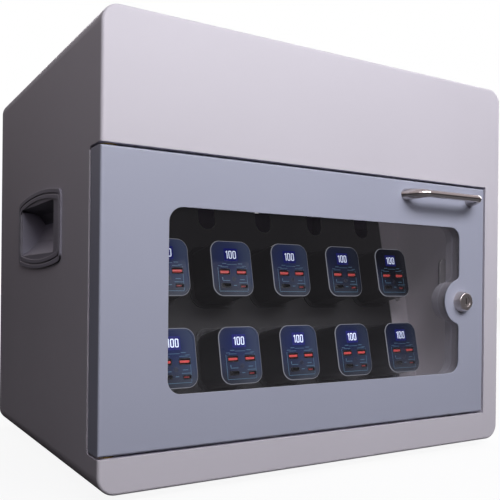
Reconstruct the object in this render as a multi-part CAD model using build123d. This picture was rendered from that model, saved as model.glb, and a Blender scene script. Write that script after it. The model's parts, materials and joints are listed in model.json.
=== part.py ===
from build123d import *
import os
from math import cos, hypot, radians, sin, tan

# A steel power bank charging cabinet, in millimetres. A hinged door with a window closes a
# compartment in which ten power banks stand in two rows of docks on a tilted rack plate.
# Everything is drawn in cabinet coordinates: x to the right from the left side, y back from the
# fascia, z up from the underside. The last step moves it to the frame of the finished part.

# Cabinet shell
width = 500
depth = 390
height = 420
sheet = 1.5
corner_radius = 17
front_edge_radius = 3
fascia_height = 119
rail_height = 32
stile_width = 24.5
return_flange = 12
jamb_corner_radius = 4.5

# Rear panel
rear_rim = 8.5
panel_sheet = 1.2
rear_flange = 14
panel_gap = 0.5
vent_length = 70
vent_height = 5
vent_pitch_z = 12
vent_rows = 6
vent_columns = 3
vent_pitch_x = 110
vent_top_drop = 60

# Door
door_thickness = 25
door_gap = 2.5
door_lip = 14
door_edge_radius = 1.8
window_margin_left = 63.6
window_margin_right = 40.5
window_margin_top = 48
window_margin_bottom = 48
window_radius = 14
lobe_radius = 26
lobe_fillet = 7
pane_thickness = 3.5
gasket_thickness = 1.5
gasket_inset = 1
pane_overlap = 12
collar_offset = 4

# Hinge
pin_radius = 3
pin_clearance = 0.05
pivot_inset = 11
swing_gap = 0.45
bush_wall = 2
bush_flange_width = 2.5
bush_flange_thickness = 0.8

# Handle
handle_inset = 75
handle_drop = 15.8
handle_foot_spacing = 100
handle_straight = 70
handle_reach = 25
handle_bar_radius = 4
handle_foot_length = 16
handle_foot_height = 13.5
handle_screw_depth = 8

# Cam lock
lock_inset = 37.5
lock_drop = 1.5
lock_face_radius = 10
lock_flange_radius = 12.2
lock_proud = 8.5
lock_body_radius = 9.5
plug_radius = 6
plug_clearance = 0.05
lock_nut_radius = 12
lock_nut_thickness = 5
cam_length = 50
cam_width = 16
cam_thickness = 2.5
cam_gap = 1
stud_size = 7
cam_screw_head = 2.1

# Compartment liner
liner_sheet = 1.2
liner_flange = 30
rack_setback = 96.2
rack_tilt = 12

# Side grips
grip_front = 111.5
grip_length = 171
grip_middle_z = 238.5
grip_side_height = 70
grip_bow = 6.5
grip_corner = 9
grip_proud = 2
pocket_front = 138
pocket_length = 131
pocket_low = 213
pocket_high = 266
pocket_depth = 26
pocket_wall = 2
pocket_corner = 4

# Power banks and docks
columns = 5
rows = 2
column_margin_left = 71.8
column_margin_right = 60.6
row_pitch = 93.9
array_shift_v = -23.1
bank_width = 50.2
bank_height = 61
bank_length = 77
bank_corner = 12
bank_reach = 45.8
bank_seat_gap = 0.3
face_thickness = 3
face_edge = 1.4
face_rim = 1.8
face_recess = 0.6
port_depth = 7
dock_clearance = 0.5
dock_wall = 2
dock_flange = 2.6
dock_flange_thickness = 2
dock_end_wall = 2.5
contact_slot_width = 26
contact_slot_height = 10
contact_gap = 0.4
vent_slot_width = 22
vent_slot_height = 34
vent_slot_rise = 26.6

# Charging boards
board_thickness = 1.6
board_height = 46
board_overhang = 12
board_gap = 4
standoff_radius = 3
standoff_flange_radius = 4.5

# Power supply
supply_width = 199
supply_depth = 98
supply_height = 42
terminal_recess = 23.88
terminal_lift = 18.9
terminal_height = 12.6
terminal_floor = 5.04
terminal_ways = 7
terminal_gap = 4
terminal_back = 4
terminal_end_margin = 12
recess_end_margin = 6
supply_left = 90
supply_rear_gap = 42
tray_height = 8
tray_margin = 6

# Power inlet with its switch
inlet_x = 410
inlet_z = 70
inlet_width = 44
inlet_height = 60
inlet_flange = 3
inlet_flange_thickness = 2.5
inlet_body_depth = 30
socket_width = 24.5
socket_height = 17
socket_depth = 16
socket_drop = 12
socket_pin_pitch = 7
socket_pin_lift = 4
rocker_radius = 8.5
rocker_width = 20
rocker_rise = 15
rocker_tilt = 10
rocker_gap = 0.3
rocker_sink = 3.5
rocker_pin_radius = 1.5

# Feet and fasteners
foot_radius = 12
foot_height = 8
foot_inset_x = 45
foot_inset_y = 50
screw_radius = 2
hole_clearance = 0.1
head_radius = 3.8
head_height = 2.2

# Planes and places that several pieces share
opening_top = height - fascia_height
opening_bottom = rail_height
opening_right = width - stile_width
door_top = opening_top - door_gap
door_bottom = opening_bottom + door_gap
door_right = opening_right - door_gap
door_middle = (door_top + door_bottom) / 2
pivot_y = door_thickness / 2
swing_radius = hypot(pivot_inset, pivot_y)
door_bay = pivot_y + swing_radius + swing_gap
jamb_depth = door_thickness - 1
liner_front = door_bay + sheet
side_space = pocket_depth + pocket_wall + 0.8 + liner_sheet
left_wall = side_space
right_wall = width - side_space
panel_rear = depth - rear_rim
panel_front = panel_rear - panel_sheet
window_left = window_margin_left
window_right = door_right - window_margin_right
window_bottom = door_bottom + window_margin_bottom
window_top = door_top - window_margin_top
lock_x = door_right - lock_inset
lock_z = door_middle - lock_drop
handle_x = door_right - handle_inset
handle_z = door_top - handle_drop
pane_front = sheet + gasket_thickness
pane_rear = pane_front + pane_thickness
cam_y = door_thickness + cam_gap

# The rack plane: u runs along x, v up the plate and w out of it towards the door.
tilt_cos = cos(radians(rack_tilt))
tilt_sin = sin(radians(rack_tilt))
rack_y = liner_front + rack_setback
rack_z = (opening_top + opening_bottom) / 2
rack_frame = Plane(origin=(0, rack_y, rack_z), x_dir=(1, 0, 0), z_dir=(0, -tilt_cos, tilt_sin))
plate_front = -liner_sheet
plate_rear = plate_front - sheet
bank_rear = bank_reach - bank_length
dock_inner_end = bank_rear - bank_seat_gap
dock_outer_end = dock_inner_end - dock_end_wall
board_front = dock_outer_end - board_gap
board_rear = board_front - board_thickness
column_pitch = (right_wall - left_wall - column_margin_left - column_margin_right) / (columns - 1)
array_x = left_wall + column_margin_left + (columns - 1) / 2 * column_pitch
dock_outer_width = bank_width + 2 * (dock_clearance + dock_wall)
dock_outer_height = bank_height + 2 * (dock_clearance + dock_wall)


def slab(x0, x1, y0, y1, z0, z1):
    return Pos((x0 + x1) / 2, (y0 + y1) / 2, (z0 + z1) / 2) * Box(x1 - x0, y1 - y0, z1 - z0)


def along_y(sketch, y0, y1):
    """Extrude a sketch drawn in x and z from y0 back to y1."""
    plane = Plane(origin=(0, y1, 0), x_dir=(1, 0, 0), z_dir=(0, -1, 0))
    return extrude(plane.location * sketch, y1 - y0, dir=(0, -1, 0))


def along_x(sketch, x0, x1):
    """Extrude a sketch drawn in y and z from x0 to x1."""
    plane = Plane(origin=(x0, 0, 0), x_dir=(0, 1, 0), z_dir=(1, 0, 0))
    return extrude(plane.location * sketch, x1 - x0, dir=(1, 0, 0))


def rod_y(x, z, radius, y0, y1):
    return along_y(Pos(x, z) * Circle(radius), y0, y1)


def rod_z(x, y, radius, z0, z1):
    return Pos(x, y, (z0 + z1) / 2) * Cylinder(radius, z1 - z0)


def rounded(x0, x1, z0, z1, radius):
    return Pos((x0 + x1) / 2, (z0 + z1) / 2) * RectangleRounded(x1 - x0, z1 - z0, radius)


def on_rack(sketch, w0, w1):
    """Extrude a sketch drawn in u and v on the rack plane, from w0 out to w1."""
    solid = extrude(sketch, w1 - w0)
    return rack_frame.location * (Pos(0, 0, w0) * solid)


def column_x(column):
    return array_x + (column - (columns - 1) / 2) * column_pitch


def row_v(row):
    return array_shift_v + ((rows - 1) / 2 - row) * row_pitch


def bank_places(row):
    return [(column_x(column), row_v(row)) for column in range(columns)]


# Cabinet shell

def rear_screw_places():
    inset = sheet + panel_gap + rear_flange / 2
    xs = (inset + corner_radius, width / 2, width - inset - corner_radius)
    zs = (inset + corner_radius, height - inset - corner_radius)
    places = [(x, z) for x in xs for z in (inset, height - inset)]
    places += [(x, z) for x in (inset, width - inset) for z in zs]
    return places


def foot_places():
    xs = (foot_inset_x, width - foot_inset_x)
    ys = (foot_inset_y, depth - foot_inset_y)
    return [(x, y) for x in xs for y in ys]


def pocket_profile(grow):
    """Section of the hand pocket in x and z: it slopes in and up to a deep finger hook."""
    low_step = pocket_depth * 0.62
    rise = pocket_high - pocket_low
    corners = [
        (-grip_proud, pocket_low),
        (0, pocket_low),
        (low_step, pocket_low + 0.30 * rise),
        (pocket_depth, pocket_low + 0.70 * rise),
        (pocket_depth * 0.72, pocket_high - 0.10 * rise),
        (0, pocket_high),
        (-grip_proud, pocket_high),
    ]
    outline = make_face(Polyline(*corners, close=True))
    deep = [v for v in outline.vertices() if v.X > 1]
    outline = fillet(deep, pocket_wall)
    return offset(outline, grow, kind=Kind.INTERSECTION) if grow else outline


def pocket_solid(grow):
    mouth = rounded(pocket_front - grow, pocket_front + pocket_length + grow,
                    pocket_low - grow, pocket_high + grow, pocket_corner + grow)
    block = along_y(pocket_profile(grow), pocket_front - grow, pocket_front + pocket_length + grow)
    return block & along_x(mouth, -2 * grip_proud, pocket_depth + grow + 1)


def mirrored(shape):
    return shape.mirror(Plane(origin=(width / 2, 0, 0), z_dir=(1, 0, 0)))


def outer_shell():
    outer = along_y(rounded(0, width, 0, height, corner_radius), 0, depth)
    outer = fillet(outer.faces().sort_by(Axis.Y)[0].edges(), front_edge_radius)
    inner = along_y(
        rounded(sheet, width - sheet, sheet, height - sheet, corner_radius - sheet), sheet, depth + 1)
    inner = fillet(inner.faces().sort_by(Axis.Y)[0].edges(), front_edge_radius - sheet)
    shell = outer - inner
    doorway = slab(-1, opening_right, -1, door_bay, opening_bottom, opening_top)
    back_edges = doorway.edges().filter_by(Axis.X).group_by(Axis.Y)[-1]
    shell -= fillet(back_edges, jamb_corner_radius)
    shell += slab(sheet / 2, opening_right + sheet, sheet / 2, jamb_depth,
                  opening_top, opening_top + sheet)
    shell += slab(sheet / 2, opening_right + sheet, sheet / 2, jamb_depth,
                  opening_bottom - sheet, opening_bottom)
    shell += slab(opening_right, opening_right + sheet, sheet / 2, jamb_depth,
                  opening_bottom - sheet, opening_top + sheet)
    shell += slab(opening_right, opening_right + return_flange, jamb_depth - sheet, jamb_depth,
                  opening_bottom, opening_top)
    shell += slab(sheet / 2, sheet + return_flange, door_bay, liner_front,
                  opening_bottom + jamb_corner_radius, opening_top - jamb_corner_radius)
    ring_out = rounded(sheet / 2, width - sheet / 2, sheet / 2, height - sheet / 2,
                       corner_radius - sheet / 2)
    ring_in = rounded(sheet + rear_flange, width - sheet - rear_flange,
                      sheet + rear_flange, height - sheet - rear_flange, corner_radius / 2)
    shell += along_y(ring_out - ring_in, panel_front - sheet, panel_front)
    for x, z in rear_screw_places():
        shell -= rod_y(x, z, screw_radius + hole_clearance, panel_front - 2 * sheet, panel_front + 1)
    for x, y in foot_places():
        shell -= rod_z(x, y, screw_radius + hole_clearance, -1, sheet + 1)
    for z in (opening_bottom, opening_top):
        shell -= rod_z(pivot_inset, pivot_y, pin_radius + bush_wall, z - 2 * sheet, z + 2 * sheet)
    for side in (pocket_solid(pocket_wall + panel_gap), mirrored(pocket_solid(pocket_wall + panel_gap))):
        shell -= side
    return shell


def side_grip():
    """Left moulded grip: a proud double rim round a shallow dish and the hand pocket."""
    low = grip_middle_z - grip_side_height / 2
    high = grip_middle_z + grip_side_height / 2
    rear = grip_front + grip_length
    middle = grip_front + grip_length / 2

    def outline(inset):
        edges = Curve() + [
            Line((grip_front + inset, high - inset), (grip_front + inset, low + inset)),
            ThreePointArc((grip_front + inset, low + inset), (middle, low - grip_bow + inset),
                          (rear - inset, low + inset)),
            Line((rear - inset, low + inset), (rear - inset, high - inset)),
            ThreePointArc((rear - inset, high - inset), (middle, high + grip_bow - inset),
                          (grip_front + inset, high - inset)),
        ]
        face = make_face(edges)
        return fillet(face.vertices(), grip_corner - inset / 2)

    rim = 4
    groove = 1.6
    flange = along_x(outline(0), -grip_proud, 0)
    flange -= along_x(outline(rim) - outline(rim + groove), -grip_proud - 1, -grip_proud * 0.45)
    flange -= along_x(outline(2 * rim + groove), -grip_proud - 1, -grip_proud * 0.45)
    cup = pocket_solid(pocket_wall) & slab(-grip_proud * 0.45, pocket_depth + 2 * pocket_wall,
                                           grip_front, rear, low - grip_bow, high + grip_bow)
    return flange + cup - pocket_solid(0)


def back_panel():
    inset = sheet + panel_gap
    panel = along_y(rounded(inset, width - inset, inset, height - inset, corner_radius - inset),
                    panel_front, panel_rear)
    top = height - vent_top_drop
    for row in range(vent_rows):
        for column in range(vent_columns):
            x = width / 2 + (column - (vent_columns - 1) / 2) * vent_pitch_x
            z = top - row * vent_pitch_z
            slot = Pos(x, z) * SlotOverall(vent_length, vent_height)
            panel -= along_y(slot, panel_front - 1, panel_rear + 1)
    cut = rounded(inlet_x - inlet_width / 2 - panel_gap / 2, inlet_x + inlet_width / 2 + panel_gap / 2,
                  inlet_z - inlet_height / 2 - panel_gap / 2, inlet_z + inlet_height / 2 + panel_gap / 2, 2)
    panel -= along_y(cut, panel_front - 1, panel_rear + 1)
    for x, z in rear_screw_places():
        panel -= rod_y(x, z, screw_radius + hole_clearance, panel_front - 1, panel_rear + 1)
    return panel


def rear_screw(x, z):
    screw = rod_y(x, z, head_radius, panel_rear, panel_rear + head_height)
    screw = fillet(screw.faces().sort_by(Axis.Y)[-1].edges(), head_height * 0.6)
    return screw + rod_y(x, z, screw_radius, panel_front - 4 * sheet, panel_rear)


def rubber_foot(x, y):
    foot = rod_z(x, y, foot_radius, -foot_height, 0)
    foot = chamfer(foot.faces().sort_by(Axis.Z)[0].edges(), foot_height * 0.2)
    foot -= rod_z(x, y, head_radius + 0.7, -foot_height - 1, -foot_height / 2)
    return foot - rod_z(x, y, screw_radius + hole_clearance, -foot_height, 1)


def foot_screw(x, y):
    head = rod_z(x, y, head_radius, -foot_height / 2 - head_height, -foot_height / 2)
    return head + rod_z(x, y, screw_radius, -foot_height / 2, 4 * sheet)


# Compartment

def rack_depth(z, w=0.0):
    """The y of the rack plane, or of a plane w in front of it, at height z."""
    return rack_y + (z - rack_z) * tan(radians(rack_tilt)) - w / tilt_cos


def compartment_plate(z0, z1):
    """Ceiling or floor of the compartment, cut at its rear to meet the rack plate."""
    behind = plate_rear - 0.5
    outline = [
        (jamb_depth + 0.3, z0),
        (rack_depth(z0, behind), z0),
        (rack_depth(z1, behind), z1),
        (jamb_depth + 0.3, z1),
    ]
    return along_x(make_face(Polyline(*outline, close=True)), left_wall, right_wall)


def liner(left):
    """Side wall of the compartment with its front return and its flange along the rack."""
    low = opening_bottom
    high = opening_top
    wall_outline = [
        (liner_front, low),
        (rack_depth(low, plate_front), low),
        (rack_depth(high, plate_front), high),
        (liner_front, high),
    ]
    wall = along_x(make_face(Polyline(*wall_outline, close=True)),
                   left_wall - liner_sheet, left_wall)
    front = slab(sheet + return_flange - 4, left_wall, liner_front, liner_front + liner_sheet, low, high)
    bottom_v = (low - rack_z) / tilt_cos + 0.5
    top_v = (high - rack_z) / tilt_cos - 0.5
    strip = Pos(left_wall - liner_sheet + liner_flange / 2, (bottom_v + top_v) / 2) * Rectangle(
        liner_flange, top_v - bottom_v)
    solid = wall + front + on_rack(strip, plate_front, 0)
    for x, v in rack_screw_places():
        hole = Pos(x, v) * Circle(screw_radius + hole_clearance)
        solid -= on_rack(hole, plate_front - 1, 1)
    return solid if left else mirrored(solid)


def rack_screw_places():
    xs = (left_wall + liner_flange / 2, right_wall - liner_flange / 2)
    reach = (opening_top - opening_bottom) / 2 - 18
    return [(x, v) for x in xs for v in (-reach, 0, reach)]


def rack_plate():
    low = (opening_bottom - rack_z - plate_rear * tilt_sin) / tilt_cos + 0.3
    high = (opening_top - rack_z - plate_front * tilt_sin) / tilt_cos - 0.3
    outline = Pos((left_wall + right_wall) / 2, (low + high) / 2) * Rectangle(
        right_wall - left_wall - 0.6, high - low)
    for row in range(rows):
        for x, v in bank_places(row):
            outline -= Pos(x, v) * RectangleRounded(
                dock_outer_width + panel_gap, dock_outer_height + panel_gap, bank_corner + dock_wall)
    vent_v = row_v(0) + bank_height / 2 + vent_slot_rise + vent_slot_height / 2
    for column in range(columns):
        outline -= Pos(column_x(column), vent_v) * Rot(0, 0, 90) * SlotOverall(
            vent_slot_height, vent_slot_width)
    for x, v in rack_screw_places():
        outline -= Pos(x, v) * Circle(screw_radius + hole_clearance)
    for x, v in standoff_places():
        outline -= Pos(x, v) * Circle(screw_radius + hole_clearance)
    return on_rack(outline, plate_rear, plate_front)


def rack_screw(x, v):
    head = on_rack(Pos(x, v) * Circle(head_radius), 0, head_height)
    return head + on_rack(Pos(x, v) * Circle(screw_radius), plate_rear - 4, 0)


def dock_sleeve(x, v):
    place = Pos(x, v)
    tube = on_rack(place * RectangleRounded(dock_outer_width, dock_outer_height,
                                            bank_corner + dock_clearance + dock_wall),
                   dock_outer_end, plate_front)
    tube += on_rack(place * RectangleRounded(dock_outer_width + 2 * dock_flange,
                                             dock_outer_height + 2 * dock_flange,
                                             bank_corner + dock_wall + dock_flange),
                    plate_front, plate_front + dock_flange_thickness)
    tube -= on_rack(place * RectangleRounded(bank_width + 2 * dock_clearance,
                                             bank_height + 2 * dock_clearance,
                                             bank_corner + dock_clearance),
                    dock_inner_end, dock_flange_thickness)
    return tube - on_rack(place * Rectangle(contact_slot_width, contact_slot_height),
                          dock_outer_end - 1, dock_inner_end + 1)


def dock_contact(x, v):
    """Spring contact block that stands on the board and reaches through the sleeve's end wall."""
    block = on_rack(Pos(x, v) * Rectangle(contact_slot_width - 2, contact_slot_height - 2),
                    board_front, dock_outer_end + dock_end_wall / 2)
    for step in (-1.5, -0.5, 0.5, 1.5):
        pin = Pos(x + step * contact_slot_width / 5, v) * Circle(contact_slot_height / 8)
        block += on_rack(pin, dock_outer_end, bank_rear - contact_gap / 2)
    return block


def standoff_places():
    places = []
    for row in range(rows):
        for column in range(columns - 1):
            x = (column_x(column) + column_x(column + 1)) / 2
            places.append((x, row_v(row)))
    return places


def charge_board(row):
    half = (columns - 1) / 2 * column_pitch + bank_width / 2 + board_overhang
    outline = Pos(array_x, row_v(row)) * RectangleRounded(2 * half, board_height, 3)
    for x, v in standoff_places():
        outline -= Pos(x, v) * Circle(screw_radius + hole_clearance)
    return on_rack(outline, board_rear, board_front)


def board_standoff(x, v):
    post = on_rack(Pos(x, v) * Circle(standoff_radius), board_front, plate_rear)
    post += on_rack(Pos(x, v) * Circle(standoff_flange_radius), plate_rear - sheet, plate_rear)
    post += on_rack(Pos(x, v) * Circle(screw_radius), board_rear, board_front)
    return post + on_rack(Pos(x, v) * Circle(head_radius), board_rear - head_height, board_rear)


# Power banks

def port_sketch():
    usb_a = [(-9.3, -3.7, 11.5, 5.4), (11.5, -3.7, 11.5, 5.4)]
    micro = (13, -19.5, 8, 2.8)
    ports = Sketch()
    for x, v, long, tall in usb_a + [micro]:
        ports += Pos(x, v) * Rectangle(long, tall)
    return ports + Pos(-7.5, -18.3) * SlotOverall(8.6, 3)


def bank_case(x, v):
    place = Pos(x, v)
    outline = RectangleRounded(bank_width, bank_height, bank_corner)
    body = extrude(outline, bank_length - face_thickness)
    body = fillet(body.faces().sort_by(Axis.Z)[0].edges(), 2)
    front = bank_reach - face_thickness
    body = rack_frame.location * (Pos(x, v, bank_rear) * body)
    return body - on_rack(place * port_sketch(), front - port_depth, front + 1)


def bank_face(x, v):
    place = Pos(x, v)
    outline = RectangleRounded(bank_width, bank_height, bank_corner)
    panel = extrude(outline, face_thickness)
    panel = fillet(panel.faces().sort_by(Axis.Z)[-1].edges(), face_edge)
    inner = RectangleRounded(bank_width - 2 * face_rim - face_edge,
                             bank_height - 2 * face_rim - face_edge, bank_corner - face_rim)
    panel -= Pos(0, 0, face_thickness - face_recess) * extrude(inner, 1)
    panel = rack_frame.location * (Pos(x, v, bank_reach - face_thickness) * panel)
    return panel - on_rack(place * port_sketch(), bank_reach - face_thickness - 1, bank_reach + 1)


# Power supply and inlet

def power_supply():
    rear = panel_front - supply_rear_gap
    base = sheet + tray_height
    box = slab(supply_left, supply_left + supply_width, rear - supply_depth, rear,
               base, base + supply_height)
    box = chamfer(box.edges().filter_by(Axis.X).group_by(Axis.Z)[-1], 2)
    return box - slab(supply_left - 1, supply_left + terminal_recess,
                      rear - supply_depth + recess_end_margin, rear - recess_end_margin,
                      base + terminal_lift, base + supply_height + 1)


def supply_terminals():
    rear = panel_front - supply_rear_gap
    base = sheet + tray_height + terminal_lift
    block_front = supply_left + terminal_recess - terminal_gap
    start = rear - supply_depth + terminal_end_margin
    block = slab(supply_left + 1, block_front, start, rear - terminal_end_margin,
                 base, base + terminal_height)
    pitch = (supply_depth - 2 * terminal_end_margin) / terminal_ways
    for step in range(terminal_ways):
        y = start + (step + 0.5) * pitch
        block -= slab(supply_left, block_front - terminal_back, y - pitch * 0.35, y + pitch * 0.35,
                      base + terminal_floor, base + supply_height)
    return block


def supply_tray():
    rear = panel_front - supply_rear_gap
    x0 = supply_left + tray_margin
    x1 = supply_left + supply_width - tray_margin
    top = sheet + tray_height
    tray = slab(x0, x1, rear - supply_depth, rear, top - sheet, top)
    for x in (x0, x1 - sheet):
        tray += slab(x, x + sheet, rear - supply_depth, rear, sheet, top)
    for x in (x0 - tray_margin, x1 - sheet):
        tray += slab(x, x + tray_margin + sheet, rear - supply_depth, rear, sheet, 2 * sheet)
    return tray


def socket_outline():
    """Mouth of the inlet socket: a rectangle with its two top corners cut."""
    half = socket_width / 2
    low = inlet_z - socket_drop - socket_height / 2
    high = inlet_z - socket_drop + socket_height / 2
    cut = socket_height * 0.3
    points = [
        (inlet_x - half, low),
        (inlet_x + half, low),
        (inlet_x + half, high - cut),
        (inlet_x + half - cut, high),
        (inlet_x - half + cut, high),
        (inlet_x - half, high - cut),
    ]
    return make_face(Polyline(*points, close=True))


rocker_z = inlet_z + rocker_rise
rocker_y = panel_rear + inlet_flange_thickness - rocker_sink


def power_inlet():
    half_w = inlet_width / 2
    half_h = inlet_height / 2
    rear = panel_rear + inlet_flange_thickness
    body = along_y(rounded(inlet_x - half_w, inlet_x + half_w, inlet_z - half_h, inlet_z + half_h, 2),
                   panel_front - inlet_body_depth, panel_rear)
    body += along_y(rounded(inlet_x - half_w - inlet_flange, inlet_x + half_w + inlet_flange,
                            inlet_z - half_h - inlet_flange, inlet_z + half_h + inlet_flange, 4),
                    panel_rear, rear)
    body -= along_y(socket_outline(), rear - socket_depth, rear + 1)
    hole = rocker_radius + rocker_gap
    body -= slab(inlet_x - rocker_width / 2 - rocker_gap, inlet_x + rocker_width / 2 + rocker_gap,
                 rocker_y - hole - 0.5, rear + 1, rocker_z - hole, rocker_z + hole)
    pin = Pos(inlet_x, rocker_y, rocker_z) * Rot(0, 90, 0) * Cylinder(
        rocker_pin_radius + pin_clearance, rocker_width + 6)
    body -= pin
    for blade in inlet_pins():
        body -= blade
    return body


def inlet_pins():
    rear = panel_rear + inlet_flange_thickness
    pins = []
    for x, lift in ((-socket_pin_pitch, 0), (0, socket_pin_lift), (socket_pin_pitch, 0)):
        z = inlet_z - socket_drop + lift
        pins.append(slab(inlet_x + x - 1, inlet_x + x + 1, rear - socket_depth - 6, rear - 4,
                         z - 2, z + 2))
    return pins


def power_rocker():
    """Rocker of the power switch, with a shallow V on top and a stub pin at each end."""
    reach = rocker_radius + 1
    sag = rocker_radius * 0.68
    lift = sag + reach * tan(radians(rocker_tilt))
    top = [(-reach, -reach), (reach, -reach), (reach, lift), (0, sag), (-reach, lift)]
    section = Circle(rocker_radius) & make_face(Polyline(*top, close=True))
    body = extrude(section, rocker_width / 2, both=True)
    body += extrude(Circle(rocker_pin_radius), rocker_width / 2 + 2.5, both=True)
    frame = Plane(origin=(inlet_x, rocker_y, rocker_z), x_dir=(0, 0, 1), z_dir=(-1, 0, 0))
    turned = Rot(0, 0, rocker_tilt) * body
    return frame.location * turned


# Door

def window_outline(grow):
    """The window, cut back by a round lobe that carries the lock; grow moves its edge outwards."""
    face = rounded(window_left - grow, window_right + grow, window_bottom - grow, window_top + grow,
                   window_radius + grow)
    face -= Pos(lock_x, lock_z) * Circle(lobe_radius - grow)
    near = [v for v in face.vertices() if hypot(v.X - lock_x, v.Y - lock_z) < lobe_radius - grow + 0.5]
    return fillet(near, lobe_fillet if grow < collar_offset else lobe_fillet / 3)


def inner_screw_places():
    inset = sheet + door_lip / 2
    xs = [door_right * share for share in (0.12, 0.5, 0.88)]
    places = [(x, z) for x in xs for z in (door_bottom + inset, door_top - inset)]
    places += [(x, door_middle + side * window_margin_top) for x in (inset, door_right - inset)
               for side in (-1, 1)]
    return places


def door_skin():
    pan = slab(0, door_right, 0, door_thickness, door_bottom, door_top)
    pan = fillet(pan.faces().sort_by(Axis.Y)[0].edges(), door_edge_radius)
    recess = door_thickness - panel_sheet
    inset = sheet + door_lip
    pan -= slab(sheet, door_right - sheet, sheet, recess - sheet, door_bottom + sheet, door_top - sheet)
    pan -= slab(inset, door_right - inset, recess - 2 * sheet, recess + 1,
                door_bottom + inset, door_top - inset)
    pan -= slab(sheet, door_right - sheet, recess, door_thickness + 1,
                door_bottom + sheet, door_top - sheet)
    pan -= along_y(window_outline(0), -1, 2 * sheet)
    pan -= rod_y(lock_x, lock_z, lock_body_radius + pin_clearance, -1, 2 * sheet)
    for x in handle_feet():
        pan -= rod_y(x, handle_z, screw_radius + hole_clearance, -1, 2 * sheet)
    for x, z in inner_screw_places():
        pan -= rod_y(x, z, screw_radius + hole_clearance, recess - 2 * sheet, recess + 1)
    for z in (door_bottom, door_top):
        pan -= rod_z(pivot_inset, pivot_y, pin_radius, z - 2 * sheet, z + 2 * sheet)
    return pan


def door_inner_panel():
    inset = sheet + 0.3
    front = door_thickness - panel_sheet
    panel = slab(inset, door_right - inset, front, door_thickness,
                 door_bottom + inset, door_top - inset)
    panel -= along_y(window_outline(collar_offset), front - 1, door_thickness + 1)
    collar = window_outline(collar_offset + panel_sheet) - window_outline(collar_offset)
    panel += along_y(collar, pane_rear, door_thickness)
    panel -= rod_y(lock_x, lock_z, lock_body_radius + panel_gap, front - 1, door_thickness + 1)
    for x, z in inner_screw_places():
        panel -= rod_y(x, z, screw_radius + hole_clearance, front - 1, door_thickness + 1)
    return panel


def inner_screw(x, z):
    head = rod_y(x, z, head_radius, door_thickness, door_thickness + head_height * 0.8)
    return head + rod_y(x, z, screw_radius, door_thickness - panel_sheet - 3 * sheet, door_thickness)


def window_pane():
    return along_y(window_outline(pane_overlap), pane_front, pane_rear)


def window_gasket():
    ring = window_outline(pane_overlap - 2) - window_outline(gasket_inset)
    return along_y(ring, sheet, pane_front)


def handle_feet():
    return [handle_x + side * handle_foot_spacing / 2 for side in (-1, 1)]


def door_handle():
    """Bow handle: oval feet sweep up and in to a round bar."""
    bar_y = handle_bar_radius - handle_reach
    half_foot = handle_foot_spacing / 2
    half_bar = handle_straight / 2
    bar = Pos(0, bar_y, 0) * Rot(0, 90, 0) * Cylinder(handle_bar_radius, handle_straight)
    foot = Plane(origin=(half_foot, 0, 0), x_dir=(1, 0, 0), z_dir=(0, -1, 0))
    neck = Plane(origin=(half_foot - 2, bar_y * 0.42, 0), x_dir=(0.94, -0.34, 0), z_dir=(-0.34, -0.94, 0))
    bend = Plane(origin=(half_foot - 6.5, bar_y * 0.85, 0), x_dir=(0.57, -0.82, 0), z_dir=(-0.82, -0.57, 0))
    end = Plane(origin=(half_bar, bar_y, 0), x_dir=(0, -1, 0), z_dir=(-1, 0, 0))
    leg = loft([
        foot.location * Ellipse(handle_foot_length / 2, handle_foot_height / 2),
        neck.location * Ellipse(handle_foot_length * 0.34, handle_foot_height * 0.43),
        bend.location * Ellipse(handle_bar_radius * 1.08, handle_bar_radius * 1.2),
        end.location * Ellipse(handle_bar_radius, handle_bar_radius),
    ])
    other = leg.mirror(Plane.YZ)
    handle = bar + leg + other
    handle = Pos(handle_x, 0, handle_z) * handle
    for x in handle_feet():
        handle -= rod_y(x, handle_z, screw_radius + hole_clearance, -handle_screw_depth - 1, 1)
    return handle


def handle_screw(x):
    head = rod_y(x, handle_z, head_radius, sheet, sheet + head_height)
    return head + rod_y(x, handle_z, screw_radius, -handle_screw_depth, sheet)


def lock_barrel():
    front = Plane(origin=(lock_x, -lock_proud, lock_z), x_dir=(1, 0, 0), z_dir=(0, -1, 0))
    base = Plane(origin=(lock_x, 0, lock_z), x_dir=(1, 0, 0), z_dir=(0, -1, 0))
    head = loft([base.location * Circle(lock_flange_radius), front.location * Circle(lock_face_radius)])
    head = fillet(head.edges().sort_by(Axis.Y)[0], 0.8)
    barrel = head + rod_y(lock_x, lock_z, lock_body_radius, 0, door_thickness)
    bore = plug_radius + plug_clearance
    return barrel - rod_y(lock_x, lock_z, bore, -lock_proud - 1, door_thickness + 1)


def lock_nut():
    hexagon = Pos(lock_x, lock_z) * RegularPolygon(lock_nut_radius, 6)
    nut = along_y(hexagon, sheet, sheet + lock_nut_thickness)
    return nut - rod_y(lock_x, lock_z, lock_body_radius, 0, sheet + lock_nut_thickness + 1)


def lock_plug():
    plug = rod_y(lock_x, lock_z, plug_radius, 0.4 - lock_proud, door_thickness + cam_gap / 2)
    half = stud_size / 2
    plug += slab(lock_x - half, lock_x + half, door_thickness, cam_y + cam_thickness,
                 lock_z - half, lock_z + half)
    keyway = slab(lock_x - 1, lock_x + 1, -lock_proud - 1, 6, lock_z - 3, lock_z + 4)
    plug -= keyway
    return plug - rod_y(lock_x, lock_z, screw_radius, cam_y - 4, cam_y + cam_thickness + 1)


def lock_cam():
    """Cam at rest points straight up, unlocked."""
    end = cam_length - cam_width / 2
    arm = Pos(lock_x, lock_z + end / 2) * Rectangle(cam_width, end)
    arm += Pos(lock_x, lock_z) * Circle(cam_width / 2)
    arm += Pos(lock_x, lock_z + end) * Circle(cam_width / 2)
    arm -= Pos(lock_x, lock_z) * Rectangle(stud_size, stud_size)
    return along_y(arm, cam_y, cam_y + cam_thickness)


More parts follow.
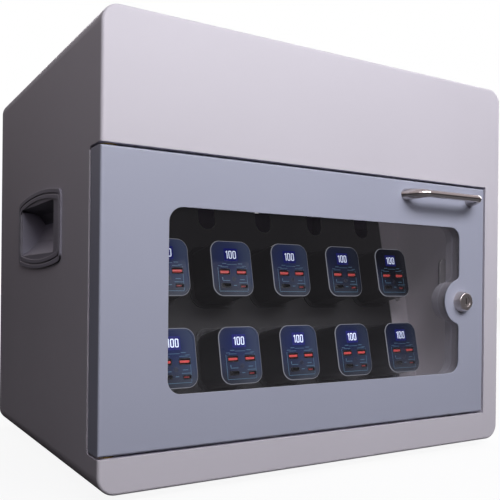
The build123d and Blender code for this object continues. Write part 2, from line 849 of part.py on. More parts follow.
def cam_screw():
    rear = cam_y + cam_thickness
    head = rod_y(lock_x, lock_z, stud_size * 0.75, rear, rear + cam_screw_head)
    return head + rod_y(lock_x, lock_z, screw_radius - hole_clearance, cam_y - 3, rear)


def hinge_bush(z, side):
    """Flanged bush in a jamb lip; side is 1 for the lip over the door and -1 below it."""
    far = z + side * (sheet + 1)
    near = z - side * bush_flange_thickness
    outer = pin_radius + bush_wall
    bush = rod_z(pivot_inset, pivot_y, outer, min(z, far), max(z, far))
    bush += rod_z(pivot_inset, pivot_y, outer + bush_flange_width, min(z, near), max(z, near))
    bore = pin_radius + pin_clearance
    return bush - rod_z(pivot_inset, pivot_y, bore, z - 5 * sheet, z + 5 * sheet)


def hinge_pin(z, side):
    """Pivot pin in the door's edge; its collar takes the door's weight on the lower bush."""
    inner = z - side * 10
    outer = z + side * (door_gap + sheet + 1)
    collar = z + side * (door_gap - bush_flange_thickness - 0.2)
    pin = rod_z(pivot_inset, pivot_y, pin_radius, min(inner, outer), max(inner, outer))
    return pin + rod_z(pivot_inset, pivot_y, pin_radius + bush_wall, min(z, collar), max(z, collar))


# Frame of the finished part: the middle of the floor under the cabinet and its handle
row_frame = Pos(-width / 2, (handle_reach - depth) / 2, foot_height)


def save(node, shapes):
    if not isinstance(shapes, list):
        shapes = [shapes]
    solids = []
    for shape in shapes:
        solids += [row_frame * solid for solid in shape.solids()]
    whole = Compound(children=solids) if len(solids) > 1 else solids[0]
    export_step(whole, f"parts/{node}.step")


def save_cabinet():
    save("outer_shell", outer_shell())
    save("back_panel", back_panel())
    save("back_panel_screws", [rear_screw(x, z) for x, z in rear_screw_places()])
    save("compartment_ceiling", compartment_plate(opening_top, opening_top + liner_sheet))
    save("compartment_floor", compartment_plate(opening_bottom - liner_sheet, opening_bottom))
    save("left_liner", liner(True))
    save("right_liner", liner(False))
    save("rack_plate", rack_plate())
    save("rack_screws", [rack_screw(x, v) for x, v in rack_screw_places()])
    for row, name in enumerate(("upper", "lower")):
        save(f"dock_sleeves_{name}", [dock_sleeve(x, v) for x, v in bank_places(row)])
        save(f"charge_board_{name}", charge_board(row))
    save("dock_contacts", [dock_contact(x, v) for row in range(rows) for x, v in bank_places(row)])
    save("board_standoffs", [board_standoff(x, v) for x, v in standoff_places()])
    save("power_supply", power_supply())
    save("supply_terminals", supply_terminals())
    save("supply_tray", supply_tray())
    save("power_inlet", power_inlet())
    save("inlet_pins", inlet_pins())
    save("power_rocker", power_rocker())
    save("left_grip", side_grip())
    save("right_grip", mirrored(side_grip()))
    save("rubber_feet", [rubber_foot(x, y) for x, y in foot_places()])
    save("foot_screws", [foot_screw(x, y) for x, y in foot_places()])
    save("hinge_bushes", [hinge_bush(opening_top, 1), hinge_bush(opening_bottom, -1)])


def save_door():
    save("door_skin", door_skin())
    save("door_inner_panel", door_inner_panel())
    save("inner_panel_screws", [inner_screw(x, z) for x, z in inner_screw_places()])
    save("window_pane", window_pane())
    save("window_gasket", window_gasket())
    save("door_handle", door_handle())
    save("handle_screws", [handle_screw(x) for x in handle_feet()])
    save("lock_barrel", lock_barrel())
    save("lock_nut", lock_nut())
    save("lock_plug", lock_plug())
    save("lock_cam", lock_cam())
    save("cam_screw", cam_screw())
    save("hinge_pins", [hinge_pin(door_top, 1), hinge_pin(door_bottom, -1)])


def save_banks():
    number = 1
    for row in range(rows):
        for x, v in bank_places(row):
            save(f"bank_{number:02d}_case", bank_case(x, v))
            save(f"bank_{number:02d}_face", bank_face(x, v))
            number += 1


os.makedirs("parts", exist_ok=True)
save_cabinet()
save_door()
save_banks()
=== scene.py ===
"""Looks of a steel power bank charging cabinet: powder-coated shell and door, chrome handle, satin
lock, dark dock bay and ten power banks with lit displays. Lengths are in metres, unless a comment
says millimetres."""

import json
import math

import bmesh
import bpy
from mathutils import Matrix, Vector


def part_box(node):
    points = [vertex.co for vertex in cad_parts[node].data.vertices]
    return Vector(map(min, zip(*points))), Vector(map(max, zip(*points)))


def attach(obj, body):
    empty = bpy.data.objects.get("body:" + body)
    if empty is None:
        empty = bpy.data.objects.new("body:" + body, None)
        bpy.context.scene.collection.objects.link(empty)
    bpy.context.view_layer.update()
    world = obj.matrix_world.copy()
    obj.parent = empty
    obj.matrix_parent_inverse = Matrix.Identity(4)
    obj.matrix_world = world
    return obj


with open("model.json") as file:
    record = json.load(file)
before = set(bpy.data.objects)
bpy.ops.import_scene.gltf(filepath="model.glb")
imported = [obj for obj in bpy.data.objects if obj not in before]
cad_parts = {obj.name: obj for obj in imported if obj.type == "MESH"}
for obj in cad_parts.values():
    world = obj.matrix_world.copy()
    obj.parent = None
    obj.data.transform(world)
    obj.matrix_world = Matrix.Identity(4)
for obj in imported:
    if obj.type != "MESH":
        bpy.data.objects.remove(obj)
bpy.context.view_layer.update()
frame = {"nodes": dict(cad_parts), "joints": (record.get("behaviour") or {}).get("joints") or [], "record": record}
nodes = frame["nodes"]
MM = 0.001

# Camera, as solved from the cabinet's straight edges. CORNER is the shell's lower front left one.
CORNER = Vector((-250, -182.5, 8)) * MM
CAMERA_FROM_CORNER = Vector((-192.85, -561.91, 179.57)) * MM
CAMERA_YAW = math.radians(31.21)
CAMERA_ROLL = math.radians(0.605)
FOCAL_PIXELS = 692.24
HORIZON_PIXEL = 286.82
PICTURE_PIXELS = 500
SENSOR_MM = 36

# Power banks: their slide axis gives the tilt of every face
BANKS = 10
BANKS_IN_ROW = 5
slide = [joint for joint in frame["joints"] if joint["name"] == "bank_01_slide"][0]
FACE_OUT = Vector(slide["axis"]).normalized()
FACE_RIGHT = Vector((1, 0, 0))
FACE_UP = FACE_OUT.cross(FACE_RIGHT)
FACE_RECESS = 0.6 * MM

# Sockets of a Mix node, by number because some share a name
FACTOR = 0
NUMBER_A, NUMBER_B, NUMBER_OUT = 2, 3, 0
COLOUR_A, COLOUR_B, COLOUR_OUT = 6, 7, 2


def linear(*rgb):
    """A colour given in display values from 0 to 255, as the shader wants it."""
    out = []
    for value in rgb:
        c = value / 255
        out.append(c / 12.92 if c <= 0.04045 else ((c + 0.055) / 1.055) ** 2.4)
    return (*out, 1)


def scaled(colour, factor, lift=0.0):
    """The colour times a factor, no brighter than white."""
    return (*(min(1, c * factor + lift) for c in colour[:3]), 1)


def face_place(number):
    """Centre of one bank's recessed face, with its width and height."""
    node = nodes[f"bank_{number:02d}_face"]
    points = [node.matrix_world @ vertex.co for vertex in node.data.vertices]
    spans = []
    for axis in (FACE_RIGHT, FACE_UP, FACE_OUT):
        along = [point.dot(axis) for point in points]
        spans.append((min(along), max(along)))
    (left, right), (low, high), (_, front) = spans
    centre = (FACE_RIGHT * (left + right) / 2 + FACE_UP * (low + high) / 2
              + FACE_OUT * (front - FACE_RECESS))
    return centre, right - left, high - low


# Light that bounces about inside the closed bay, brighter towards the bottom
BAY_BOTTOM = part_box("rack_plate")[0].z
BAY_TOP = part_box("rack_plate")[1].z
BAY_LIGHT = linear(236, 232, 238)
BAY_LIGHT_AT_TOP = 0.6
BAY_LIGHT_AT_BOTTOM = 1.5


class Graph:
    """A small helper that adds nodes to one material, or to the world, and links them."""

    def __init__(self, name, world=False):
        self.block = (bpy.data.worlds if world else bpy.data.materials).new(name)
        self.block.use_nodes = True
        self.tree = self.block.node_tree
        self.tree.nodes.clear()
        self.output = self.add("ShaderNodeOutputWorld" if world else "ShaderNodeOutputMaterial")
        self.place = self.add("ShaderNodeTexCoord").outputs["Generated" if world else "Object"]

    def add(self, kind, settings=None, **inputs):
        node = self.tree.nodes.new(kind)
        for key, value in (settings or {}).items():
            setattr(node, key, value)
        for key, value in inputs.items():
            self.put(node.inputs[key.replace("_", " ")], value)
        return node

    def put(self, socket, value):
        if isinstance(value, bpy.types.NodeSocket):
            self.tree.links.new(value, socket)
        else:
            socket.default_value = value

    def math(self, operation, a, b=0.0, c=0.0):
        node = self.add("ShaderNodeMath", {"operation": operation})
        for socket, value in zip(node.inputs, (a, b, c)):
            self.put(socket, value)
        return node.outputs[0]

    def times(self, a, b):
        return self.math("MULTIPLY", a, b)

    def vector(self, operation, a, b=None):
        node = self.add("ShaderNodeVectorMath", {"operation": operation})
        for socket, value in zip(node.inputs, (a, b)):
            if value is not None:
                self.put(socket, value)
        scalar = operation in ("DOT_PRODUCT", "LENGTH")
        return node.outputs["Value" if scalar else "Vector"]

    def noise(self, scale, detail=2.0, rough=0.5, place=None):
        node = self.add("ShaderNodeTexNoise", Scale=scale, Detail=detail, Roughness=rough,
                        Vector=place or self.place)
        return node.outputs["Fac"]

    def ramp(self, value, low, high, smooth=True):
        """Maps value from low..high onto 0..1."""
        node = self.add("ShaderNodeMapRange",
                        {"interpolation_type": "SMOOTHSTEP" if smooth else "LINEAR"},
                        Value=value, From_Min=low, From_Max=high)
        return node.outputs["Result"]

    def range(self, value, low, high):
        """Maps 0..1 onto low..high."""
        return self.math("MULTIPLY_ADD", value, high - low, low)

    def mix(self, factor, a, b):
        """A colour between two others."""
        node = self.add("ShaderNodeMix", {"data_type": "RGBA"})
        for socket, value in ((FACTOR, factor), (COLOUR_A, a), (COLOUR_B, b)):
            self.put(node.inputs[socket], value)
        return node.outputs[COLOUR_OUT]

    def mix_numbers(self, factor, a, b):
        node = self.add("ShaderNodeMix", {"data_type": "FLOAT"})
        for socket, value in ((FACTOR, factor), (NUMBER_A, a), (NUMBER_B, b)):
            self.put(node.inputs[socket], value)
        return node.outputs[NUMBER_OUT]

    def mix_shaders(self, factor, a, b):
        node = self.add("ShaderNodeMixShader")
        for socket, value in zip(node.inputs, (factor, a, b)):
            self.put(socket, value)
        return node.outputs[0]

    def bay_light(self, amount):
        """Strength of the bay's bounced light at the height of the surface."""
        height = self.vector("DOT_PRODUCT", self.place, (0, 0, 1))
        depth = self.ramp(height, BAY_TOP, BAY_BOTTOM, smooth=False)
        return self.times(self.range(depth, BAY_LIGHT_AT_TOP, BAY_LIGHT_AT_BOTTOM), amount)

    def true_normal(self):
        return self.add("ShaderNodeNewGeometry").outputs["Normal"]

    def bump(self, height, strength, distance, normal=None):
        node = self.add("ShaderNodeBump", Height=height, Strength=strength, Distance=distance)
        if normal:
            self.put(node.inputs["Normal"], normal)
        return node.outputs["Normal"]

    def soft_edges(self, radius):
        return self.add("ShaderNodeBevel", {"samples": 4}, Radius=radius).outputs["Normal"]

    def edge_mask(self, soft):
        """About 1 on edges that the soft normal rounds over, and 0 on flat faces."""
        return self.ramp(self.vector("DOT_PRODUCT", soft, self.true_normal()), 0.995, 0.90)

    def ray_kinds(self):
        """1 for rays that see the surface straight or through glass, and 1 for mirrored rays."""
        path = self.add("ShaderNodeLightPath").outputs
        seen = self.math("MAXIMUM", path["Is Camera Ray"], path["Is Transmission Ray"])
        return seen, path["Is Glossy Ray"]

    def principled(self, **inputs):
        return self.add("ShaderNodeBsdfPrincipled", **inputs).outputs[0]

    def finish(self, shader):
        self.put(self.output.inputs["Surface"], shader)
        return self.block


# Materials

def powder_coat(name, colour, roughness, grain=1500, bay_glow=0.0):
    """Sprayed and baked paint: fine orange peel, faint cloudiness, softer edges paled by painted highlight and
    wear.
    """
    g = Graph(name)
    cloudiness = 0.035
    soft = g.soft_edges(0.8 * MM)
    highlight_and_wear_edges = g.edge_mask(soft)
    speck = g.noise(grain, 2, 0.6)
    base = g.mix(g.noise(7, 3), scaled(colour, 1 - cloudiness), scaled(colour, 1 + cloudiness))
    base = g.mix(g.times(g.ramp(speck, 0.62, 0.8), 0.10), base, linear(250, 250, 252))
    # Paler edges: a painted highlight where the rounded edges catch light, with some wear
    base = g.mix(g.times(highlight_and_wear_edges, 0.22), base, linear(246, 244, 248))
    rough = g.range(g.noise(60, 2), roughness - 0.05, roughness + 0.06)
    peel = g.bump(g.noise(grain * 0.5, 2), 0.10, 0.12 * MM, soft)
    peel = g.bump(speck, 0.06, 0.05 * MM, peel)
    return g.finish(g.principled(Base_Color=base, Roughness=rough, Normal=peel, IOR=1.45,
                                 Emission_Color=BAY_LIGHT,
                                 Emission_Strength=g.bay_light(bay_glow)))


def moulded(name, colour, roughness=0.5, grain=2600, edge=0.6 * MM, bump=0.12, edge_highlight_and_wear=0.16,
            bay_glow=0.0, pocket_shade=0.0):
    """Moulded plastic or rubber with a spark-eroded grain and slightly paler edges, from painted highlight and
    wear.

    pocket_shade paints shade onto what faces down, as under a grip's lip."""
    g = Graph(name)
    soft = g.soft_edges(edge)
    grit = g.noise(grain, 3, 0.7)
    base = g.mix(g.noise(18, 3), scaled(colour, 0.90), scaled(colour, 1.10, 0.004))
    # Paler edges: a painted highlight where the rounded edges catch light, with some wear
    base = g.mix(g.times(g.edge_mask(soft), edge_highlight_and_wear), base, linear(206, 203, 210))
    # Painted shade on faces that look down, such as the ceiling of the grip's pocket
    if pocket_shade:
        downward = g.ramp(g.vector("DOT_PRODUCT", g.true_normal(), (0, 0, -1)), 0.05, 0.5)
        base = g.mix(g.times(downward, pocket_shade), base, linear(14, 13, 15))
    rough = g.range(grit, roughness - 0.08, roughness + 0.10)
    return g.finish(g.principled(Base_Color=base, Roughness=rough, IOR=1.45,
                                 Emission_Color=BAY_LIGHT,
                                 Emission_Strength=g.bay_light(bay_glow),
                                 Normal=g.bump(grit, bump, 0.08 * MM, soft)))


def metal(name, colour, roughness, brushed=False):
    """Metal with fine scratches; brushed stretches them along x."""
    g = Graph(name)
    scratches = g.noise(1.0, 3, 0.6, g.vector("MULTIPLY", g.place,
                                              (40 if brushed else 900, 1400, 1400)))
    smudge = g.noise(45, 3)
    base = g.mix(smudge, scaled(colour, 0.93), colour)
    rough = g.range(g.math("ADD", g.times(scratches, 0.6), g.times(smudge, 0.4)),
                    max(0.02, roughness - 0.06), roughness + 0.08)
    return g.finish(g.principled(Base_Color=base, Metallic=1.0, Roughness=rough,
                                 Normal=g.bump(scratches, 0.15 if brushed else 0.03, 0.03 * MM,
                                               g.soft_edges(0.4 * MM))))


def circuit_board():
    """Green solder mask with paler raised tracks."""
    g = Graph("circuit_board")
    cell = g.add("ShaderNodeTexVoronoi", {"feature": "DISTANCE_TO_EDGE"}, Scale=260, Vector=g.place)
    track = g.ramp(cell.outputs["Distance"], 0.10, 0.05)
    base = g.mix(g.noise(30), linear(14, 70, 42), linear(20, 92, 54))
    base = g.mix(track, base, linear(34, 120, 72))
    return g.finish(g.principled(Base_Color=base, Roughness=g.range(track, 0.34, 0.5),
                                 Normal=g.bump(track, 0.2, 0.05 * MM)))


def clear_pane():
    """Clear acrylic: light passes straight through, with a faint sheen and faint smears."""
    g = Graph("clear_pane")
    clear = g.add("ShaderNodeBsdfTransparent", Color=linear(249, 249, 251)).outputs[0]
    gloss = g.add("ShaderNodeBsdfGlossy", Color=linear(235, 238, 245),
                  Roughness=g.range(g.noise(25, 3), 0.02, 0.06)).outputs[0]
    dust = g.add("ShaderNodeBsdfDiffuse", Color=BAY_LIGHT).outputs[0]
    fresnel = g.add("ShaderNodeFresnel", IOR=1.45).outputs[0]
    smear = g.times(fresnel, g.range(g.noise(9, 4), 0.12, 0.28))
    haze = g.range(g.noise(14, 4), 0.0015, 0.0045)
    return g.finish(g.mix_shaders(haze, g.mix_shaders(smear, clear, gloss), dust))


def bank_face_finish():
    """Smoked gloss face: painted highlight on the rim, painted navy glow round the display, slate towards the
    edges.
    """
    g = Graph("bank_face")
    middle, width, height = face_place(1)
    column_pitch = (face_place(2)[0] - middle).length
    row_pitch = (face_place(BANKS_IN_ROW + 1)[0] - middle).length
    relative = g.vector("SUBTRACT", g.place, tuple(middle))
    across, up, out = (g.vector("DOT_PRODUCT", relative, tuple(axis))
                       for axis in (FACE_RIGHT, FACE_UP, FACE_OUT))

    # u and v run from the middle of each bank's own face
    u = g.math("WRAP", across, column_pitch / 2, -column_pitch / 2)
    v = g.math("WRAP", up, row_pitch / 2, -row_pitch / 2)
    flat = g.add("ShaderNodeCombineXYZ", X=u, Y=v).outputs[0]
    corner = 12 * MM
    straight = (width / 2 - corner, height / 2 - corner, 1)
    past_straight = g.vector("SUBTRACT", g.vector("ABSOLUTE", flat), straight)
    reach = g.vector("LENGTH", g.vector("MAXIMUM", past_straight, (0, 0, 0)))
    # The pale band round the rim is a painted highlight on the face's rounded edge
    rim = g.ramp(g.math("SUBTRACT", corner, reach), 1.05 * MM, 0.7 * MM)

    rightward = g.ramp(u, -20 * MM, 20 * MM)
    lower = g.ramp(v, -8 * MM, -28 * MM)
    # A painted glow: navy light round the display, painted onto the face
    display = g.vector("SUBTRACT", flat, (-4 * MM, 13 * MM, 0))
    glow = g.ramp(g.vector("LENGTH", display), 26 * MM, 6 * MM)
    body = g.mix(rightward, linear(43, 49, 74), linear(62, 72, 98))
    foot = g.mix(rightward, linear(46, 48, 56), linear(71, 75, 86))
    base = g.mix(lower, body, foot)
    base = g.mix(g.times(glow, 0.75), base, linear(25, 37, 90))
    base = g.mix(g.times(g.noise(55, 3), 0.12), base, linear(92, 104, 128))

    # The banks at the upper right stand in shade, which falls across them from that corner
    column_shade = g.ramp(across, 1.8 * column_pitch, 3.6 * column_pitch, smooth=False)
    row_shade = g.range(g.ramp(up, -row_pitch, 0), 0.45, 0.93)
    corner_shade = g.ramp(g.math("ADD", u, v), -50 * MM, -2 * MM)
    shade = g.times(g.times(column_shade, row_shade), corner_shade)
    base = g.mix(shade, base, linear(4, 6, 12))
    base = g.mix(rim, base, linear(146, 148, 156))
    behind_face = g.ramp(out, -0.1 * MM, -0.5 * MM)
    base = g.mix(behind_face, base, linear(30, 30, 33))
    # The face also glows in its own colours: painted light, as the face is no lamp
    return g.finish(g.principled(
        Base_Color=g.mix(0.62, base, (0, 0, 0, 1)), Roughness=g.range(g.noise(120, 2), 0.24, 0.36),
        Coat_Weight=0.04, Coat_Roughness=0.1, IOR=1.2, Emission_Color=base, Emission_Strength=0.63,
        Normal=g.bump(g.noise(700, 2), 0.02, 0.02 * MM)))


def lit(name, colour, strength):
    """A lit or printed mark: slightly uneven colour with its own light."""
    g = Graph(name)
    base = g.mix(g.noise(400, 2), scaled(colour, 0.86), colour)
    return g.finish(g.principled(Base_Color=base, Roughness=0.3, Emission_Color=base,
                                 Emission_Strength=strength))


finishes = {
    "shell_paint": powder_coat("shell_paint", linear(214, 209, 221), 0.46),
    "door_paint": powder_coat("door_paint", linear(173, 176, 197), 0.40),
    "liner_paint": powder_coat("liner_paint", linear(206, 198, 204), 0.5, bay_glow=0.056),
    "rack_paint": powder_coat("rack_paint", linear(31, 30, 31), 0.6, grain=1200, bay_glow=0.015),
    # The grip's paler rim is mostly a painted highlight on the front edge of its proud frame
    "grip_plastic": moulded("grip_plastic", linear(152, 149, 166), 0.42, edge=1.3 * MM, edge_highlight_and_wear=0.5,
                            pocket_shade=0.92),
    "dock_plastic": moulded("dock_plastic", linear(30, 30, 32), 0.5, bay_glow=0.009),
    "bank_plastic": moulded("bank_plastic", linear(28, 28, 31), 0.42, bay_glow=0.009),
    "bank_face": bank_face_finish(),
    "chrome": metal("chrome", linear(200, 195, 194), 0.09),
    "zinc_steel": metal("zinc_steel", linear(206, 205, 203), 0.40, brushed=True),
    "brass": metal("brass", linear(206, 172, 96), 0.26),
    "circuit_board": circuit_board(),
    "supply_case": metal("supply_case", linear(196, 196, 198), 0.38, brushed=True),
    "rubber": moulded("rubber", linear(30, 30, 31), 0.7, grain=1600, bump=0.25),
    "clear_pane": clear_pane(),
    "inlet_plastic": moulded("inlet_plastic", linear(32, 32, 34), 0.45),
}
# The door's inner panel gets a greyer copy of the door paint with painted bay light, to match the lit inner wall
# beside the window
inner_panel = powder_coat("inner_panel", linear(164, 160, 168), 0.5, bay_glow=0.044)
lock_satin = metal("lock_satin", linear(214, 208, 207), 0.32)
own_finish = {"door_inner_panel": inner_panel, "lock_barrel": lock_satin, "lock_plug": lock_satin}
slot_of = {part["node"]: part["material_slot"] for part in frame["record"]["subparts"]}
SHARP_ANGLE = math.radians(32)
for name, node in nodes.items():
    node.data.materials.clear()
    node.data.materials.append(own_finish.get(name) or finishes[slot_of[name]])
    node.data.shade_smooth()
    node.data.set_sharp_from_angle(angle=SHARP_ANGLE)


# Pieces on the power banks, drawn in millimetres on the face: x right, y up, z out of it

SCREEN = lit("screen_blue", linear(10, 16, 96), 0.8)
DIGITS = lit("digit_white", linear(226, 236, 255), 0.95)
# The printed lines and the port tongues are no lamps: their glow is painted light, dimmer in the small port
TEAL = lit("print_teal", linear(70, 100, 122), 0.6)
TONGUE = lit("port_red", linear(208, 80, 78), 0.5)
TONGUE_DIM = lit("port_red_dim", linear(150, 62, 66), 0.30)
PORT_DARK = moulded("port_dark", linear(18, 18, 24), 0.4)
KEY_DARK = moulded("key_dark", linear(48, 54, 74), 0.35)

DISPLAY_Y = 15.2
WIDE_PORTS_Y = -3.7
WIDE_PORTS_X = (-9.3, 11.5)
SMALL_PORT_Y = -19.5
PORT_FLOOR = -4.0
SURROUND_DEPTH = (0, 0.12)
PRINT_DEPTH = (0, 0.05)


def face_matrix(number):
    """Frame on the recessed face of one bank."""
    axes = Matrix((FACE_RIGHT, FACE_UP, FACE_OUT)).transposed().to_4x4()
    return Matrix.Translation(face_place(number)[0]) @ axes


def arc_points(x, y, radius, start, end, steps):
    points = []
    for step in range(steps + 1):
        angle = start + (end - start) * step / steps
        points.append((x + radius * math.cos(angle), y + radius * math.sin(angle)))
    return points


def rounded_loop(width, height, radius, steps=3):
    x = width / 2 - radius
    y = height / 2 - radius
    quarter = math.pi / 2
    loop = []
    for turn, (sx, sy) in enumerate(((1, 1), (-1, 1), (-1, -1), (1, -1))):
        loop += arc_points(sx * x, sy * y, radius, turn * quarter, (turn + 1) * quarter, steps)
    return loop


class FacePiece:
    """A piece of flat shapes on one bank's face. Each shape has an outline, a place on the face,
    a depth from low to high and one of the piece's materials."""

    def __init__(self, *materials):
        self.mesh = bmesh.new()
        self.materials = materials

    def points(self, loop, place, z):
        return [self.mesh.verts.new(((x + place[0]) * MM, (y + place[1]) * MM, z * MM))
                for x, y in loop]

    def face(self, corners, material):
        self.mesh.faces.new(corners).material_index = self.materials.index(material)

    def walls(self, a, b, material):
        """The band of faces between two outlines with as many points each."""
        for i in range(len(a)):
            j = (i + 1) % len(a)
            self.face((a[i], a[j], b[j], b[i]), material)

    def plate(self, loop, place, depth, material):
        bottom, top = (self.points(loop, place, z) for z in depth)
        self.face(top, material)
        self.face(bottom[::-1], material)
        self.walls(bottom, top, material)

    def ring(self, outer, inner, place, depth, material):
        low, high = depth
        levels = [self.points(loop, place, z)
                  for loop, z in ((outer, low), (outer, high), (inner, high), (inner, low))]
        for a, b in zip(levels, levels[1:] + levels[:1]):
            self.walls(a, b, material)

    def finish(self, number, kind):
        body = f"bank_{number:02d}"
        bmesh.ops.recalc_face_normals(self.mesh, faces=self.mesh.faces)
        data = bpy.data.meshes.new(f"{body}_{kind}")
        self.mesh.to_mesh(data)
        self.mesh.free()
        data.transform(face_matrix(number))
        for material in self.materials:
            data.materials.append(material)
        piece = bpy.data.objects.new(data.name, data)
        bpy.context.scene.collection.objects.link(piece)
        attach(piece, body)


def bank_display(number):
    """A screen with the number 100 in slim strokes: a one with its flag, then two zeros."""
    tall = 8.8
    wide = 4.0
    stroke = 1.0
    screen_top = 0.10
    digit_depth = (screen_top, 0.22)
    piece = FacePiece(SCREEN, DIGITS)
    piece.plate(rounded_loop(16.6, 13.8, 0.6), (-0.4, DISPLAY_Y), (0.01, screen_top), SCREEN)
    piece.plate(rounded_loop(stroke, tall, 0.4), (-4.9, DISPLAY_Y), digit_depth, DIGITS)
    flag = [(0.4, 0.3), (0.4, 1.3), (-1.4, 0.2), (-1.4, -0.7)]
    piece.plate(flag, (-5.2, DISPLAY_Y + tall / 2 - 1.4), (screen_top, 0.23), DIGITS)
    outer = rounded_loop(wide, tall, 1.3, 4)
    inner = rounded_loop(wide - 2 * stroke, tall - 2 * stroke, 0.4, 4)
    for x in (-1.1, 4.0):
        piece.ring(outer, inner, (x, DISPLAY_Y), digit_depth, DIGITS)
    piece.finish(number, "display")


def bank_ports(number):
    """Contact tongues inside the ports: two wide red ones and a small one, with dark surrounds."""
    piece = FacePiece(TONGUE, PORT_DARK, TONGUE_DIM)
    for x in WIDE_PORTS_X:
        place = (x, WIDE_PORTS_Y)
        piece.ring(rounded_loop(13.0, 7.0, 1.0), rounded_loop(11.5, 5.4, 0.1), place,
                   SURROUND_DEPTH, PORT_DARK)
        piece.plate(rounded_loop(10.6, 2.3, 0.4), place, (PORT_FLOOR, -0.3), TONGUE)
    piece.plate(rounded_loop(5.6, 1.2, 0.3), (12.4, SMALL_PORT_Y), (PORT_FLOOR, -0.4), TONGUE_DIM)
    piece.ring(rounded_loop(9.6, 4.2, 0.8), rounded_loop(8.0, 2.8, 0.1), (13, SMALL_PORT_Y),
               SURROUND_DEPTH, PORT_DARK)
    outer = [(x - 1.6, y - 0.4) for x, y in rounded_loop(12.0, 4.8, 0.8)]
    piece.ring(outer, rounded_loop(8.6, 3.0, 1.45), (-7.5, -18.3), SURROUND_DEPTH, PORT_DARK)
    piece.finish(number, "tongues")


def bank_lines(number):
    """Fine printed lines: a frame round the ports, dashes over them and a flush touch key."""
    top = 4.4
    bottom = -25.0
    half = 17.6
    line = 0.55
    side_y = (top + bottom) / 2 - 1.5
    side_tall = top - bottom - 4
    dashes = [
        # x, y, long, tall
        (-half, side_y, line, side_tall),
        (half, side_y, line, side_tall),
        (0, bottom, 2 * half, line),
        (-14.8, top - 1.6, 5, line),
        (0, top, 12.5, line),
        (14.9, top - 1.6, 5, line),
        (-9.5, top + 0.9, 5.4, 0.8),
        (-9.5, top - 2.8, 9.4, 0.6),
        (10.5, top + 0.9, 5.4, 0.8),
        (10.5, top - 2.8, 9.4, 0.6),
        (-12.8, -11.2, 1.0, 3.0),
        (-8.4, -13.3, 9.0, 0.7),
        (11.5, -12.2, 6.0, 0.8),
        (12.3, -15.6, 10.4, 0.7),
        (2.0, -18.6, 4.0, 0.8),
    ]
    piece = FacePiece(TEAL, KEY_DARK)
    for x, y, long, tall in dashes:
        piece.plate(rounded_loop(long, tall, min(long, tall) * 0.45, 2), (x, y), PRINT_DEPTH, TEAL)
    key_radius = 2.6
    key = arc_points(0, 0, key_radius, 0, 2 * math.pi, 24)[:-1]
    piece.plate(key, (1.2, -11.4), PRINT_DEPTH, KEY_DARK)
    piece.finish(number, "print")


for number in range(1, BANKS + 1):
    bank_display(number)
    bank_ports(number)
    bank_lines(number)


# Camera, floor and light

FLOOR_REACH = 12
FLOOR_SEEN = (linear(252, 252, 253), linear(255, 255, 255))
FLOOR_BOUNCED = linear(50, 48, 50)
FLOOR_MIRRORED = linear(112, 110, 114)
WORLD_FILL = 0.016
WORLD_MIRRORED_LOW = 0.035
WORLD_MIRRORED_HIGH = 0.6
WORLD_TINT = (1, 0.89, 0.93, 1)
WHITE = (1, 1, 1, 1)
NEUTRAL = (1, 1, 1)
LIGHTS = (
    # name, place, target, width, height, power in watts, colour
    ("key", (0.05, -1.15, 0.97), (0.02, -0.18, 0.22), 1.5, 0.5, 16.8, NEUTRAL),
    ("left_fill", (-1.15, -1.25, 0.95), (-0.1, -0.1, 0.2), 0.8, 0.8, 1.9, (1, 0.92, 0.95)),
    ("right_fill", (2.2, 0.3, 1.2), (0.25, 0.1, 0.2), 1.2, 1.2, 14, NEUTRAL),
    ("rear_fill", (0.9, 2.4, 1.5), (0, 0.2, 0.2), 1.6, 1.2, 40, NEUTRAL),
)


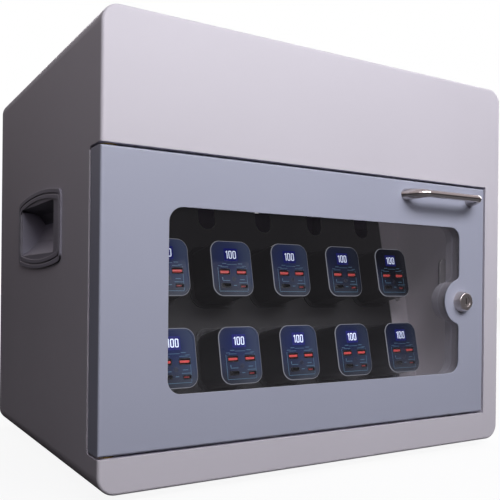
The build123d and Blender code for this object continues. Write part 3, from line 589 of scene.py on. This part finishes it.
def make_camera():
    """A level camera with its picture shifted, so that the cabinet's verticals stay parallel."""
    data = bpy.data.cameras.new("camera")
    data.sensor_width = SENSOR_MM
    data.lens = FOCAL_PIXELS / PICTURE_PIXELS * SENSOR_MM
    drop = (HORIZON_PIXEL - PICTURE_PIXELS / 2) / PICTURE_PIXELS
    data.shift_y = drop * math.cos(CAMERA_ROLL)
    data.shift_x = drop * math.sin(CAMERA_ROLL)
    data.clip_start = 0.01
    camera = bpy.data.objects.new("camera", data)
    forward = Vector((math.sin(CAMERA_YAW), math.cos(CAMERA_YAW), 0))
    level_right = Vector((math.cos(CAMERA_YAW), -math.sin(CAMERA_YAW), 0))
    level_up = Vector((0, 0, 1))
    right = level_right * math.cos(CAMERA_ROLL) + level_up * math.sin(CAMERA_ROLL)
    up = level_up * math.cos(CAMERA_ROLL) - level_right * math.sin(CAMERA_ROLL)
    turn = Matrix((right, up, -forward)).transposed().to_4x4()
    camera.matrix_world = Matrix.Translation(CORNER + CAMERA_FROM_CORNER) @ turn
    bpy.context.scene.collection.objects.link(camera)
    bpy.context.scene.camera = camera


def make_floor():
    """White where it is seen; darker in what metal mirrors and in the light that it bounces."""
    g = Graph("floor")
    seen, mirrored = g.ray_kinds()
    pale = g.mix(g.noise(3, 2), *FLOOR_SEEN)
    colour = g.mix(seen, g.mix(mirrored, FLOOR_BOUNCED, FLOOR_MIRRORED), pale)
    diffuse = g.add("ShaderNodeBsdfDiffuse", Color=colour).outputs[0]
    white = g.add("ShaderNodeEmission", Color=pale, Strength=seen).outputs[0]
    surface = g.mix_shaders(g.times(seen, 0.93), diffuse, white)
    data = bpy.data.meshes.new("floor")
    near, far = -FLOOR_REACH, FLOOR_REACH
    corners = [(near, near, 0), (far, near, 0), (far, far, 0), (near, far, 0)]
    data.from_pydata(corners, [], [(0, 1, 2, 3)])
    data.materials.append(g.finish(surface))
    floor = bpy.data.objects.new("floor", data)
    bpy.context.scene.collection.objects.link(floor)


def make_world():
    """White where it is seen; for metal a bright top over a darker band; a low fill otherwise."""
    g = Graph("studio", world=True)
    seen, mirrored = g.ray_kinds()
    upward = g.ramp(g.vector("DOT_PRODUCT", g.place, (0, 0, 1)), -0.05, 0.55)
    band = g.range(upward, WORLD_MIRRORED_LOW, WORLD_MIRRORED_HIGH)
    strength = g.mix_numbers(seen, g.mix_numbers(mirrored, WORLD_FILL, band), 1.0)
    background = g.add("ShaderNodeBackground", Color=g.mix(seen, WORLD_TINT, WHITE),
                       Strength=strength)
    bpy.context.scene.world = g.finish(background.outputs[0])


def area_light(name, place, target, width, height, power, colour):
    data = bpy.data.lights.new(name, "AREA")
    data.shape = "RECTANGLE"
    data.size = width
    data.size_y = height
    data.energy = power
    data.color = colour
    light = bpy.data.objects.new(name, data)
    light.location = place
    aim = Vector(target) - Vector(place)
    light.rotation_euler = aim.to_track_quat("-Z", "Y").to_euler()
    bpy.context.scene.collection.objects.link(light)


bpy.context.scene.view_settings.view_transform = "Standard"
make_camera()
make_floor()
make_world()
for light in LIGHTS:
    area_light(*light)
